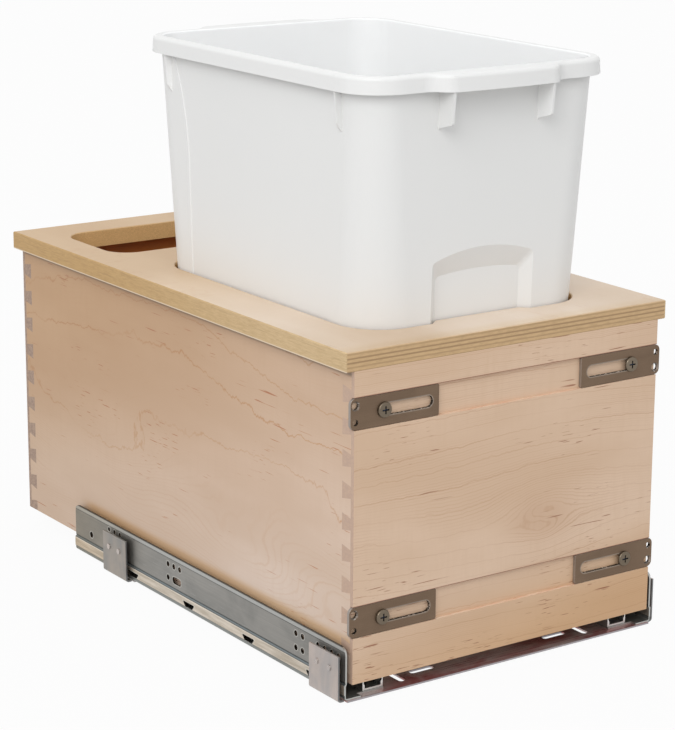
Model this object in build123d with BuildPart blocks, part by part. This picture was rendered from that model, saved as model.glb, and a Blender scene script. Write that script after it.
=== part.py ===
import os
from math import hypot

from build123d import *

# Pull-out waste bin for a base cabinet. Millimetres, +Z up, front towards -Y, floor at Z = 0.
os.makedirs("parts", exist_ok=True)

# Deck and box
deck_width = 330.0
deck_length = 560.0
deck_thickness = 16.0
edge_band_thickness = 1.0
edge_ease = 0.8
box_width = 314.0
box_height = 261.0
box_back_inset = 3.0
board_thickness = 16.0
box_floor_gap = 15.0
panel_recess = 13.0
panel_thickness = 12.0
panel_groove_depth = 6.0

# Dovetails of the box corners
lap_thickness = 4.0
pin_pitch = 26.4
first_pin_drop = 20.7
pin_wide = 14.5
pin_narrow = 10.0

# Grooves across the box front, and the door brackets in them
groove_height = 26.8
groove_depth = 3.2
upper_groove_drop = 35.0
lower_groove_rise = 52.5
bracket_length = 86.5
bracket_height = 26.0
bracket_thickness = 2.8
bracket_overhang = 3.5
bracket_outer_radius = 5.0
bracket_inner_radius = 1.2
bracket_edge = 0.4
slot_length = 53.0
slot_width = 10.0
slot_end_margin = 6.2
door_hole_inset = 4.8
door_hole_spacing = 13.5
door_hole_radius = 3.0
door_countersink_radius = 4.0
small_door_hole_radius = 2.6
bracket_head_radius = 6.5
bracket_head_height = 2.2
bracket_head_round = 1.5
bracket_shank_radius = 2.4
bracket_screw_bite = 11.0
drive_length = 6.6
drive_width = 1.3
drive_depth = 1.2
sliding_gap = 0.3

# Cut-outs of the deck
bag_opening_width = 267.0
bag_opening_length = 107.0
bag_opening_radius = 24.0
bag_opening_setback = 413.5

# Bin
bin_setback = 204.5
bin_rim_rise = 206.0
bin_base_width = 218.0
bin_base_length = 307.0
bin_base_radius = 56.0
bin_mouth_width = 241.8
bin_mouth_length = 338.0
bin_mouth_radius = 30.0
bin_wall = 2.5
bin_floor_thickness = 3.0
bin_base_round = 8.0
bin_cutout_gap = 1.5
bin_cutout_radius = 40.0
rim_overhang = 7.6
rim_height = 14.0
rim_top_thickness = 2.4
rim_skirt_thickness = 2.0
rim_draft = 4.0
rim_round = 3.5
mouth_round = 1.5
grip_width = 120.0
grip_slope = 12.0
grip_shoulder = 13.0
grip_reach = 15.0
grip_blend = 14.0
rib_thickness = 2.0
rib_drop = 31.0
rib_setback = 1.2
rib_foot = 2.0
rib_taper = 2.5
rib_lift = 4.5
rib_round = 2.0
side_rib_spacing = 262.0
end_rib_spacing = 101.0
panel_sink = 0.7
panel_waist = 212.0
panel_flare = 252.0
panel_flare_height = 95.0
recess_width = 104.6
recess_rise = 59.0
recess_arch = 9.5
recess_floor_width = 87.0
recess_floor_rise = 39.0
recess_floor_arch = 3.2
recess_depth = 7.5
recess_lead = 2.0
recess_corner = 5.0
recess_round = 6.0

# Fixed frame: flanged rails, tie plates and clip plates
sheet = 1.5
flange_gap = 5.5
flange_top = 47.0
rail_length = 450.0
rail_setback = 2.0
strip_height = 14.5
strip_step = 1.0
strip_blend = 1.3
strip_groove = 0.4
foot_band_height = 4.3
foot_band_step = 0.6
hem_height = 4.0
hem_step = 0.5
bend_radius = 3.0
flange_corner_radius = 7.0
screw_hole_radius = 2.5
hole_pitch = 10.0
hole_row_pitch = 12.5
hole_row_height = 37.0
quad_setback = 67.0
front_row_setback = 24.5
front_row_count = 4
middle_row_setback = 268.5
middle_row_count = 3
middle_slot_setback = 263.5
middle_slot_length = 15.0
middle_slot_width = 6.5
rear_row_setback = 375.5
rear_row_rise = 2.5
rear_row_hole_radius = 2.0
rear_hole_setback = 419.5
rear_hole_radius = 3.0
window_pitch = 98.0
window_count = 4
window_setback = 46.0
window_top_length = 20.0
window_low_length = 12.0
window_height = 4.6
window_rise = 4.9
window_round = 0.9
web_notch_width = 26.5
web_notch_depth = 6.0
tie_depth = 50.0
front_tie_setback = 1.0
rear_tie_setback = 344.5
tie_slot_length = 24.0
tie_slot_width = 6.0
cross_slot_spacing = 142.0
long_slot_spacing = 196.0
slot_row_shift = -3.0
web_rivet_spacing = 300.0
web_rivet_setback = 42.0
web_rivet_radius = 2.0
web_head_radius = 4.0
web_head_height = 1.2
web_head_bevel = 0.7
clip_length = 42.0
clip_height = 39.5
clip_gap = 4.0
front_clip_setback = 4.5
rear_clip_setback = 347.5
clip_rivet_pitch = 18.0
clip_rivet_shift = 1.0
clip_rivet_height = 26.5
clip_rivet_radius = 1.5
clip_head_radius = 2.6
clip_head_height = 0.8
clip_spacer_radius = 2.9
clip_tail_radius = 2.4

# Runners: lipped channels, middle rails, balls and cages
channel_width = 20.0
channel_side_gap = 0.5
channel_height = 11.0
channel_wall = 2.0
channel_floor = 1.6
channel_lip = 1.6
channel_lip_gap = 0.8
channel_setback = 9.0
channel_length = 434.5
drawer_rail_setback = 20.0
middle_width = 11.2
middle_leg = 2.0
middle_web = 4.0
middle_floor_gap = 2.2
middle_setback = 22.0
stop_gap = 0.5
stop_length = 6.5
stop_height = 21.0
stop_round = 1.0
ball_radius = 2.0
ball_gap = 0.3
ball_rise = 5.0
balls_per_row = 3
ball_pitch = 64.0
cage_sheet = 1.0
cage_base_sheet = 0.8
cage_base_gap = 0.6
cage_lip_gap = 0.4
cage_hole_gap = 0.1
cage_length = 170.0
cage_setback = 142.0
rail_screw_count = 3
rail_screw_pitch = 175.0
rail_screw_head_radius = 3.2
rail_screw_radius = 1.9
rail_screw_length = 10.0

# Levels and places worked out from the sizes above
box_bottom = box_floor_gap
box_top = box_bottom + box_height
deck_top = box_top + deck_thickness
panel_bottom = box_bottom + panel_recess
panel_top = panel_bottom + panel_thickness
rim_top = deck_top + bin_rim_rise
rim_bottom = rim_top - rim_height
groove_set_back = groove_depth - sliding_gap - bracket_thickness
head_seat = groove_set_back - sliding_gap
head_proud = bracket_head_height - head_seat
front_y = (head_proud - deck_length) / 2
box_length = deck_length - box_back_inset
back_y = front_y + box_length
box_side = box_width / 2
box_inside = box_side - board_thickness
upper_groove = box_top - upper_groove_drop
lower_groove = box_bottom + lower_groove_rise
flange_out = box_side + flange_gap
flange_in = flange_out - sheet
web_bottom = sheet
web_top = web_bottom + sheet
strip_top = web_bottom + strip_height
rail_front = front_y + rail_setback
runner_x = box_inside - channel_side_gap - channel_width / 2
web_edge = runner_x - channel_width / 2
runner_middle = (web_top + panel_bottom) / 2
channel_front = front_y + channel_setback
channel_rear = channel_front + channel_length
drawer_rail_front = front_y + drawer_rail_setback
drawer_rail_length = channel_rear - stop_gap - drawer_rail_front
ball_offset = (middle_width / 2 + channel_width / 2 - channel_wall) / 2
groove_radius = ball_radius + ball_gap
clip_out = flange_out + clip_gap + sheet
clip_in = clip_out - sheet
strip_out = flange_out + strip_step
strip_in = flange_in + strip_step
floor_top = web_top + channel_floor
ball_height = floor_top + ball_rise
lower_row_height = hole_row_height - hole_row_pitch
tie_centres = [front_y + setback + tie_depth / 2 for setback in (front_tie_setback, rear_tie_setback)]
bracket_end = box_side + bracket_overhang
slot_outer_end = bracket_end - bracket_length + slot_end_margin + slot_length
bracket_screw_x = slot_outer_end - slot_width / 2


on_base = (Align.CENTER, Align.CENTER, Align.MIN)


def finish(part, name):
    part.label = name
    export_step(part, f"parts/{name}.step")


def mirrored(part):
    with BuildPart() as other_hand:
        mirror(part, about=Plane.YZ)
    return other_hand.part


def finish_pair(part, name):
    """The part as drawn is the right-hand one."""
    finish(part, f"right_{name}")
    finish(mirrored(part), f"left_{name}")


def section_at(y):
    """Plane across the depth at y: local x is X, local y is Z, and a negative extrusion runs back."""
    return Plane.XZ.offset(-y)


# Rivets: through the web and the tie plate, and through the flange and its clip plate
with BuildPart() as web_rivets:
    for setback in (front_tie_setback, rear_tie_setback):
        row_y = front_y + setback + web_rivet_setback
        with Locations((0, row_y, 0)):
            with GridLocations(web_rivet_spacing, 1, 2, 1):
                Cylinder(web_rivet_radius, web_top, align=on_base)
        with Locations((0, row_y, web_top)):
            with GridLocations(web_rivet_spacing, 1, 2, 1):
                Cylinder(web_head_radius, web_head_height, align=on_base)
    chamfer(web_rivets.faces().group_by(Axis.Z)[-1].edges(), web_head_bevel)
finish(web_rivets.part, "web_rivets")

clip_rivet_steps = (
    (flange_in - clip_head_height, flange_in, clip_tail_radius),
    (flange_in, clip_out, clip_rivet_radius),
    (flange_out, clip_in, clip_spacer_radius),
    (clip_out, clip_out + clip_head_height, clip_head_radius),
)
with BuildPart() as clip_rivets:
    for setback in (front_clip_setback, rear_clip_setback):
        row_y = front_y + setback + clip_length / 2 + clip_rivet_shift
        for start, end, radius in clip_rivet_steps:
            with BuildSketch(Plane.YZ.offset(start)):
                with Locations((row_y, clip_rivet_height)):
                    with GridLocations(clip_rivet_pitch, 1, 2, 1):
                        Circle(radius)
            extrude(amount=end - start)
    mirror(about=Plane.YZ)
finish(clip_rivets.part, "clip_rivets")


# Flange rails: a tall flange with a stepped foot and a hemmed top, turned in below as the web
with BuildPart() as flange_rail:
    with BuildSketch(section_at(rail_front)) as rail_profile:
        band_out = strip_out - foot_band_step
        band_top = web_bottom + foot_band_height
        corners = [
            (web_edge, web_bottom),
            (band_out, web_bottom),
            (band_out, band_top),
            (strip_out, band_top + foot_band_step),
            (strip_out, strip_top - strip_blend),
            (flange_out - strip_groove, strip_top),
            (flange_out, strip_top + strip_blend),
            (flange_out, flange_top - hem_height),
            (flange_out + hem_step, flange_top - hem_height + hem_step),
            (flange_out + hem_step, flange_top),
            (flange_in, flange_top),
            (flange_in, strip_top),
            (strip_in, strip_top - strip_blend - strip_step),
            (strip_in, web_top),
            (web_edge, web_top),
        ]
        Polygon(corners, align=None)
        fillet(rail_profile.vertices().sort_by_distance((band_out, web_bottom))[0], bend_radius)
        fillet(rail_profile.vertices().sort_by_distance((strip_in, web_top))[0], bend_radius - sheet)
    extrude(amount=-rail_length)
    with BuildSketch(Plane.YZ.offset(web_edge)) as side_view:
        with Locations((rail_front + rail_length / 2, flange_top / 2)):
            Rectangle(rail_length, flange_top)
        fillet(side_view.vertices().group_by(Axis.Y)[-1], flange_corner_radius)
    extrude(amount=strip_out - web_edge, mode=Mode.INTERSECT)
    with BuildSketch(Plane.XY.offset(web_bottom)):
        with Locations((web_edge + web_notch_width / 2, rail_front + web_notch_depth / 2)):
            Rectangle(web_notch_width, web_notch_depth)
    extrude(amount=sheet, mode=Mode.SUBTRACT)
    with BuildSketch(Plane.YZ.offset(flange_in - sheet)) as cuts:
        with Locations((rail_front + front_row_setback, hole_row_height)):
            with GridLocations(hole_pitch, 1, front_row_count, 1):
                Circle(screw_hole_radius)
        with Locations((rail_front + quad_setback, hole_row_height - hole_row_pitch / 2)):
            with GridLocations(hole_pitch, hole_row_pitch, 2, 2):
                Circle(screw_hole_radius)
        with Locations((rail_front + middle_row_setback, hole_row_height)):
            with GridLocations(hole_pitch, 1, middle_row_count, 1):
                Circle(screw_hole_radius)
        with Locations((rail_front + rear_row_setback, hole_row_height + rear_row_rise)):
            with GridLocations(hole_pitch, 1, middle_row_count, 1):
                Circle(rear_row_hole_radius)
        first_hole = rail_front + front_row_setback - hole_pitch * (front_row_count - 1) / 2
        last_hole = rail_front + middle_row_setback + hole_pitch * (middle_row_count - 1) / 2
        with Locations((first_hole, lower_row_height), (last_hole, lower_row_height)):
            Circle(screw_hole_radius)
        with Locations((rail_front + rear_hole_setback, lower_row_height)):
            Circle(rear_hole_radius)
        with Locations((rail_front + middle_slot_setback, lower_row_height)):
            SlotOverall(middle_slot_length, middle_slot_width)
        window_low = web_bottom + window_rise
        for index in range(window_count):
            window_y = rail_front + window_setback + index * window_pitch
            corners = [
                (window_y - window_low_length / 2, window_low),
                (window_y + window_low_length / 2, window_low),
                (window_y + window_top_length / 2, window_low + window_height),
                (window_y - window_top_length / 2, window_low + window_height),
            ]
            Polygon(corners, align=None)
        window_middle = window_low + window_height / 2
        window_corners = cuts.vertices().filter_by(
            lambda corner: abs(corner.Y - window_middle) < window_height
        )
        fillet(window_corners, window_round)
    extrude(amount=strip_out - flange_in + 2 * sheet, mode=Mode.SUBTRACT)
    add(web_rivets.part, mode=Mode.SUBTRACT)
    add(clip_rivets.part, mode=Mode.SUBTRACT)
finish_pair(flange_rail.part, "flange_rail")


# Tie plates across the floor, each with two slots along and two across the depth
for place, centre_y in zip(("front", "rear"), tie_centres):
    with BuildPart() as tie_plate:
        with BuildSketch():
            with Locations((0, centre_y)):
                Rectangle(2 * flange_in, tie_depth)
            with Locations((0, centre_y + slot_row_shift)):
                with GridLocations(cross_slot_spacing, 1, 2, 1):
                    SlotOverall(tie_slot_length, tie_slot_width, mode=Mode.SUBTRACT)
                with GridLocations(long_slot_spacing, 1, 2, 1):
                    SlotOverall(tie_slot_length, tie_slot_width, rotation=90, mode=Mode.SUBTRACT)
        extrude(amount=sheet)
        add(web_rivets.part, mode=Mode.SUBTRACT)
    finish(tie_plate.part, f"{place}_tie_plate")


# Clip plates stand outside the flanges, with a lip turned in under the foot
for place, setback in (("front", front_clip_setback), ("rear", rear_clip_setback)):
    with BuildPart() as clip_plate:
        with BuildSketch(section_at(front_y + setback)) as clip_profile:
            corners = [
                (strip_in, 0),
                (clip_out, 0),
                (clip_out, clip_height),
                (clip_in, clip_height),
                (clip_in, sheet),
                (strip_in, sheet),
            ]
            Polygon(corners, align=None)
            fillet(clip_profile.vertices().sort_by_distance((clip_out, 0))[0], bend_radius)
            fillet(clip_profile.vertices().sort_by_distance((clip_in, sheet))[0], bend_radius - sheet)
        extrude(amount=-clip_length)
        add(clip_rivets.part, mode=Mode.SUBTRACT)
    finish(clip_plate.part, f"{place}_right_clip_plate")
    finish(mirrored(clip_plate.part), f"{place}_left_clip_plate")


# Runners: a lipped channel on the web, the same one upside down under the drawer, a middle rail
def lipped_channel(front, length):
    """Right-hand channel, open at the top, with a ball groove in each wall."""
    lip_bottom = web_top + channel_height - channel_lip
    with BuildPart() as channel:
        with BuildSketch(section_at(front)):
            with Locations((runner_x, web_top + channel_height / 2)):
                Rectangle(channel_width, channel_height)
            with Locations((runner_x, (floor_top + lip_bottom) / 2)):
                Rectangle(channel_width - 2 * channel_wall, lip_bottom - floor_top, mode=Mode.SUBTRACT)
            with Locations((runner_x, lip_bottom + channel_lip / 2)):
                Rectangle(middle_width + 2 * channel_lip_gap, channel_lip, mode=Mode.SUBTRACT)
            with Locations((runner_x, ball_height)):
                with GridLocations(2 * ball_offset, 1, 2, 1):
                    Circle(groove_radius, mode=Mode.SUBTRACT)
        extrude(amount=-length)
    return channel.part


def upside_down(part):
    """The same piece turned over about the middle height of the runner."""
    with BuildPart() as turned:
        mirror(part, about=Plane.XY.offset(runner_middle))
    return turned.part


finish_pair(lipped_channel(channel_front, channel_length), "runner_channel")

with BuildPart() as end_stops:
    with BuildSketch(Plane.XY.offset(web_top)):
        with Locations((0, channel_rear + stop_length / 2)):
            with GridLocations(2 * runner_x, 1, 2, 1):
                Rectangle(channel_width, stop_length)
    extrude(amount=stop_height)
    fillet(end_stops.edges().filter_by(Axis.Z), stop_round)
finish(end_stops.part, "runner_end_stops")

with BuildPart() as middle_rail:
    middle_height = 2 * (runner_middle - floor_top - middle_floor_gap)
    with BuildSketch(section_at(front_y + middle_setback)):
        with Locations((runner_x, runner_middle)):
            Rectangle(middle_width, middle_web)
            with GridLocations(middle_width - middle_leg, 1, 2, 1):
                Rectangle(middle_leg, middle_height)
            with GridLocations(2 * ball_offset, 2 * (runner_middle - ball_height), 2, 2):
                Circle(groove_radius, mode=Mode.SUBTRACT)
    extrude(amount=-(channel_rear - stop_gap - front_y - middle_setback))
finish_pair(middle_rail.part, "middle_rail")

cage_middle = front_y + cage_setback + cage_length / 2
with BuildPart() as balls:
    with Locations((runner_x, cage_middle, ball_height)):
        with GridLocations(2 * ball_offset, ball_pitch, 2, balls_per_row):
            Sphere(ball_radius)

with BuildPart() as cage:
    cage_bottom = floor_top + cage_base_gap
    cage_top = web_top + channel_height - channel_lip - cage_lip_gap
    with BuildSketch(section_at(front_y + cage_setback)):
        with Locations((runner_x, cage_bottom + cage_base_sheet / 2)):
            Rectangle(2 * ball_offset + cage_sheet, cage_base_sheet)
        with Locations((runner_x, (cage_bottom + cage_top) / 2)):
            with GridLocations(2 * ball_offset, 1, 2, 1):
                Rectangle(cage_sheet, cage_top - cage_bottom)
    extrude(amount=-cage_length)
    with BuildSketch(Plane.YZ.offset(runner_x - channel_width / 2)):
        with Locations((cage_middle, ball_height)):
            with GridLocations(ball_pitch, 1, balls_per_row, 1):
                Circle(ball_radius + cage_hole_gap)
    extrude(amount=channel_width, mode=Mode.SUBTRACT)

for level, cage_part, ball_part in (
    ("lower", cage.part, balls.part),
    ("upper", upside_down(cage.part), upside_down(balls.part)),
):
    finish_pair(cage_part, f"{level}_cage")
    finish_pair(ball_part, f"{level}_balls")


# Dovetail pins of the two cross boards
def pin_faces(board_face, inward):
    """Trapezoids of the dovetail pins of one board, seen from the side of the box."""
    narrow_y = board_face + inward * lap_thickness
    wide_y = board_face + inward * board_thickness
    height = box_top - first_pin_drop
    while height > box_bottom:
        corners = [
            (narrow_y, height - pin_narrow / 2),
            (wide_y, height - pin_wide / 2),
            (wide_y, height + pin_wide / 2),
            (narrow_y, height + pin_narrow / 2),
        ]
        Polygon(corners, align=None)
        height -= pin_pitch


def dovetail_pins(board_face, inward):
    with BuildPart() as pins:
        with BuildSketch(Plane.YZ.offset(box_inside)):
            pin_faces(board_face, inward)
        extrude(amount=board_thickness)
        mirror(about=Plane.YZ)
        split(bisect_by=Plane.XY.offset(box_bottom), keep=Keep.TOP)
    return pins.part


front_pins = dovetail_pins(front_y, 1)
back_pins = dovetail_pins(back_y, -1)


# Screws that hold the drawer rails up into the bottom panel, heads flush inside the rail
rail_ceiling = panel_bottom - channel_floor
with BuildPart() as rail_screws:
    with Locations((runner_x, drawer_rail_front + drawer_rail_length / 2, rail_ceiling)):
        with GridLocations(1, rail_screw_pitch, 1, rail_screw_count):
            Cylinder(rail_screw_radius, rail_screw_length, align=on_base)
            countersink = rail_screw_head_radius - rail_screw_radius
            Cone(rail_screw_head_radius, rail_screw_radius, countersink, align=on_base)
    mirror(about=Plane.YZ)
finish(rail_screws.part, "rail_screws")

with BuildPart() as drawer_rail:
    add(upside_down(lipped_channel(drawer_rail_front, drawer_rail_length)))
    add(rail_screws.part, mode=Mode.SUBTRACT)
finish_pair(drawer_rail.part, "drawer_rail")


# Bottom panel, let into a groove of all four boards
with BuildPart() as bottom_panel:
    with BuildSketch(Plane.XY.offset(panel_bottom)):
        with Locations((0, (front_y + back_y) / 2)):
            Rectangle(
                2 * (box_inside + panel_groove_depth),
                box_length - 2 * (board_thickness - panel_groove_depth),
            )
    extrude(amount=panel_thickness)
panel_blank = bottom_panel.part
with BuildPart() as drilled_panel:
    add(panel_blank)
    add(rail_screws.part, mode=Mode.SUBTRACT)
finish(drilled_panel.part, "bottom_panel")


# Round-headed screws through the bracket slots into the box front, with a cross recess
bracket_levels = (("upper", upper_groove), ("lower", lower_groove))
screw_face = front_y + head_seat
with BuildPart() as bracket_screw:
    with BuildSketch(section_at(screw_face)):
        Circle(bracket_head_radius)
    extrude(amount=bracket_head_height)
    fillet(bracket_screw.edges().group_by(Axis.Y)[0], bracket_head_round)
    with BuildSketch(section_at(screw_face)):
        Circle(bracket_shank_radius)
    extrude(amount=-(2 * sliding_gap + bracket_thickness + bracket_screw_bite))
    with BuildSketch(section_at(screw_face - bracket_head_height)):
        Rectangle(drive_length, drive_width)
        Rectangle(drive_width, drive_length)
    extrude(amount=-drive_depth, mode=Mode.SUBTRACT)
with BuildPart() as bracket_screws:
    for level, height in bracket_levels:
        with Locations((bracket_screw_x, 0, height), (-bracket_screw_x, 0, height)):
            add(bracket_screw.part)
finish(bracket_screws.part, "bracket_screws")


# Front board: lap strip, dovetail pins, two grooves for the brackets
with BuildPart() as front_board:
    with BuildSketch(Plane.XY.offset(box_bottom)):
        with Locations((0, front_y + lap_thickness / 2)):
            Rectangle(box_width, lap_thickness)
        with Locations((0, front_y + board_thickness / 2)):
            Rectangle(2 * box_inside, board_thickness)
    extrude(amount=box_height)
    add(front_pins)
    add(panel_blank, mode=Mode.SUBTRACT)
    with BuildSketch(section_at(front_y)):
        for level, height in bracket_levels:
            with Locations((0, height)):
                Rectangle(box_width, groove_height)
    extrude(amount=-groove_depth, mode=Mode.SUBTRACT)
    add(bracket_screws.part, mode=Mode.SUBTRACT)
finish(front_board.part, "front_board")


# Back board: the same joints, with a notch over each runner
notch_width = channel_width + 2 * channel_side_gap
with BuildPart() as back_board:
    with BuildSketch(Plane.XY.offset(box_bottom)):
        with Locations((0, back_y - lap_thickness / 2)):
            Rectangle(box_width, lap_thickness)
        with Locations((0, back_y - board_thickness / 2)):
            Rectangle(2 * box_inside, board_thickness)
    extrude(amount=box_height)
    add(back_pins)
    add(panel_blank, mode=Mode.SUBTRACT)
    with BuildSketch(section_at(back_y)):
        for hand in (1, -1):
            with Locations((hand * (box_inside - notch_width / 2), box_bottom + panel_recess / 2)):
                Rectangle(notch_width, panel_recess)
    extrude(amount=board_thickness, mode=Mode.SUBTRACT)
finish(back_board.part, "back_board")


# Side boards: tails fill the spaces between the pins
with BuildPart() as right_side:
    with BuildSketch(Plane.XY.offset(box_bottom)):
        with Locations((box_side - board_thickness / 2, (front_y + back_y) / 2)):
            Rectangle(board_thickness, box_length - 2 * lap_thickness)
    extrude(amount=box_height)
    add(front_pins, mode=Mode.SUBTRACT)
    add(back_pins, mode=Mode.SUBTRACT)
    add(panel_blank, mode=Mode.SUBTRACT)
finish_pair(right_side.part, "side")


# Door brackets: slotted plates lying in the grooves, the left one turned end for end
def door_bracket(height):
    """Right-hand bracket, with the countersunk hole below the plain one."""
    plate_front = front_y + groove_set_back
    slot_x = slot_outer_end - slot_length / 2
    hole_x = bracket_end - door_hole_inset
    with BuildPart() as bracket:
        with BuildSketch(section_at(plate_front)) as outline:
            with Locations((bracket_end - bracket_length / 2, height)):
                Rectangle(bracket_length, bracket_height)
            fillet(outline.vertices().group_by(Axis.X)[-1], bracket_outer_radius)
            fillet(outline.vertices().group_by(Axis.X)[0], bracket_inner_radius)
        extrude(amount=-bracket_thickness)
        fillet(bracket.faces().sort_by(Axis.Y)[0].edges(), bracket_edge)
        with BuildSketch(section_at(plate_front)):
            with Locations((slot_x, height)):
                SlotOverall(slot_length, slot_width)
            with Locations((hole_x, height + door_hole_spacing / 2)):
                Circle(small_door_hole_radius)
            with Locations((hole_x, height - door_hole_spacing / 2)):
                Circle(door_hole_radius)
        extrude(amount=-bracket_thickness, mode=Mode.SUBTRACT)
        with Locations(Plane((hole_x, plate_front, height - door_hole_spacing / 2), z_dir=(0, 1, 0))):
            countersink = door_countersink_radius - door_hole_radius
            Cone(door_countersink_radius, door_hole_radius, countersink, align=on_base, mode=Mode.SUBTRACT)
    return bracket.part


for level, height in bracket_levels:
    plate = door_bracket(height)
    finish(plate, f"right_{level}_bracket")
    finish(plate.rotate(Axis((0, 0, height), (0, 1, 0)), 180), f"left_{level}_bracket")


# Bin outline: it narrows evenly from the mouth down to the base
bin_centre = front_y + bin_setback
bin_rise = rim_top - panel_top


def blend(start, end, share):
    return start + (end - start) * share


def bin_size(height, mouth_size, base_size):
    """A size of the bin's outline at a height, between its base and its mouth."""
    return blend(base_size, mouth_size, (height - panel_top) / bin_rise)


def bin_section(height, inset):
    """Sketch of the bin's rounded outline at a height, drawn in by an inset."""
    with BuildSketch(Plane.XY.offset(height)) as section:
        with Locations((0, bin_centre)):
            RectangleRounded(
                bin_size(height, bin_mouth_width, bin_base_width) - 2 * inset,
                bin_size(height, bin_mouth_length, bin_base_length) - 2 * inset,
                bin_size(height, bin_mouth_radius, bin_base_radius) - inset,
            )
    return section.sketch


def tapered_body(low, high, inset):
    with BuildPart() as body:
        loft(sections=[bin_section(low, inset).face(), bin_section(high, inset).face()])
    return body.part


# Finger recess low in the front wall: a floor parallel to the wall, inside sloping sides and roof
wall_lean = (bin_mouth_length - bin_base_length) / 2 / bin_rise
wall_front = bin_centre - bin_size(deck_top, bin_mouth_length, bin_base_length) / 2
wall_plane = Plane(origin=(0, wall_front, deck_top), x_dir=(1, 0, 0), z_dir=(0, -1, -wall_lean))
recess_side_skin = hypot(1, (recess_width - recess_floor_width) / 2 / recess_depth)
recess_roof_skin = hypot(1, (recess_rise - recess_floor_rise) / recess_depth)


def recess_half(depth, grow):
    """Half width of the recess at a depth behind the wall, with its sides moved out by grow."""
    return blend(recess_width, recess_floor_width, depth / recess_depth) / 2 + recess_side_skin * grow


def recess_section(depth, grow):
    """Sketch of the recess's arched outline at a depth behind the wall."""
    half = recess_half(depth, grow)
    top = blend(recess_rise, recess_floor_rise, depth / recess_depth) + recess_roof_skin * grow
    shoulder = top - blend(recess_arch, recess_floor_arch, depth / recess_depth)
    low = panel_top - bin_base_round - deck_top
    with BuildSketch(wall_plane.offset(-depth)) as section:
        with BuildLine():
            Polyline((-half, shoulder), (-half, low), (half, low), (half, shoulder))
            ThreePointArc((half, shoulder), (0, top), (-half, shoulder))
        make_face()
        fillet(section.vertices().group_by(Axis.Y)[-1], recess_corner)
    return section.sketch


def recess_block(grow):
    """Solid that forms the recess, or its inner skin when it grows by the wall thickness."""
    with BuildPart() as block:
        depths = (-recess_lead, recess_depth + grow)
        loft(sections=[recess_section(depth, grow).face() for depth in depths])
        fillet(block.faces().sort_by(Axis.Y)[-1].edges().group_by(Axis.Z)[1:], recess_round)
    return block.part


# Deck: plywood with a cut-out that clears the bin, a tab in its recess and an open cut-out for bags
cutout_width = bin_size(deck_top, bin_mouth_width, bin_base_width) + 2 * bin_cutout_gap
cutout_length = bin_size(deck_top, bin_mouth_length, bin_base_length) + 2 * bin_cutout_gap
deck_centre = front_y + deck_length / 2
with BuildPart() as deck:
    with BuildSketch(Plane.XY.offset(box_top)):
        with Locations((0, deck_centre)):
            Rectangle(deck_width - 2 * edge_band_thickness, deck_length)
        with Locations((0, bin_centre)):
            RectangleRounded(cutout_width, cutout_length, bin_cutout_radius, mode=Mode.SUBTRACT)
        tab_foot = recess_half(-bin_cutout_gap, -bin_cutout_gap)
        tab_end = recess_half(recess_depth - bin_cutout_gap, -bin_cutout_gap)
        corners = [
            (-tab_foot, wall_front - bin_cutout_gap),
            (tab_foot, wall_front - bin_cutout_gap),
            (tab_end, wall_front + recess_depth - bin_cutout_gap),
            (-tab_end, wall_front + recess_depth - bin_cutout_gap),
        ]
        Polygon(corners, align=None)
        with Locations((0, front_y + bag_opening_setback + bag_opening_length / 2)):
            RectangleRounded(
                bag_opening_width, bag_opening_length, bag_opening_radius, mode=Mode.SUBTRACT
            )
    extrude(amount=deck_thickness)
    top_edges = deck.faces().sort_by(Axis.Z)[-1].edges()
    banded = deck_width / 2 - 2 * edge_band_thickness
    chamfer(top_edges.filter_by(lambda edge: abs(edge.center().X) < banded), edge_ease)
finish(deck.part, "deck")

with BuildPart() as edge_band:
    with BuildSketch(Plane.XY.offset(box_top)):
        with Locations(((deck_width - edge_band_thickness) / 2, deck_centre)):
            Rectangle(edge_band_thickness, deck_length)
    extrude(amount=deck_thickness)
    top_edges = edge_band.faces().sort_by(Axis.Z)[-1].edges()
    chamfer(top_edges.sort_by(Axis.X)[1:], edge_ease)
finish_pair(edge_band.part, "edge_band")


# Bin: rim outline with a grip lip on the two short sides
rim_width = bin_mouth_width + 2 * rim_overhang
rim_length = bin_mouth_length + 2 * rim_overhang
rim_radius = bin_mouth_radius + rim_overhang


def rim_outline(inset):
    """Sketch of the rim from above, drawn in by an inset."""
    foot = (grip_width + grip_slope) / 2
    shoulder = (grip_width - grip_slope) / 2
    with BuildSketch(Plane.XY.offset(rim_bottom)) as outline:
        with Locations((0, bin_centre)):
            RectangleRounded(rim_width, rim_length, rim_radius)
        for end in (1, -1):
            edge_y = bin_centre + end * rim_length / 2
            with BuildLine():
                Polyline(
                    (shoulder, edge_y + end * grip_shoulder),
                    (foot, edge_y),
                    (foot, bin_centre),
                    (-foot, bin_centre),
                    (-foot, edge_y),
                    (-shoulder, edge_y + end * grip_shoulder),
                )
                ThreePointArc(
                    (-shoulder, edge_y + end * grip_shoulder),
                    (0, edge_y + end * grip_reach),
                    (shoulder, edge_y + end * grip_shoulder),
                )
            make_face()
        grip_corners = outline.vertices().filter_by(lambda corner: abs(corner.X) < foot + grip_slope)
        fillet(grip_corners, grip_blend)
        if inset:
            offset(amount=-inset, mode=Mode.REPLACE)
    return outline.sketch


# The rounded top edge is made on one half and mirrored
with BuildPart() as rim:
    extrude(rim_outline(0), amount=rim_height, taper=rim_draft)
    split(bisect_by=Plane.YZ, keep=Keep.TOP)
    top_edges = rim.faces().sort_by(Axis.Z)[-1].edges()
    fillet(top_edges.filter_by(lambda edge: edge.center().X > rim_round), rim_round)
    mirror(about=Plane.YZ)
    extrude(
        rim_outline(rim_skirt_thickness),
        amount=rim_height - rim_top_thickness,
        taper=rim_draft,
        mode=Mode.SUBTRACT,
    )


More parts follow.
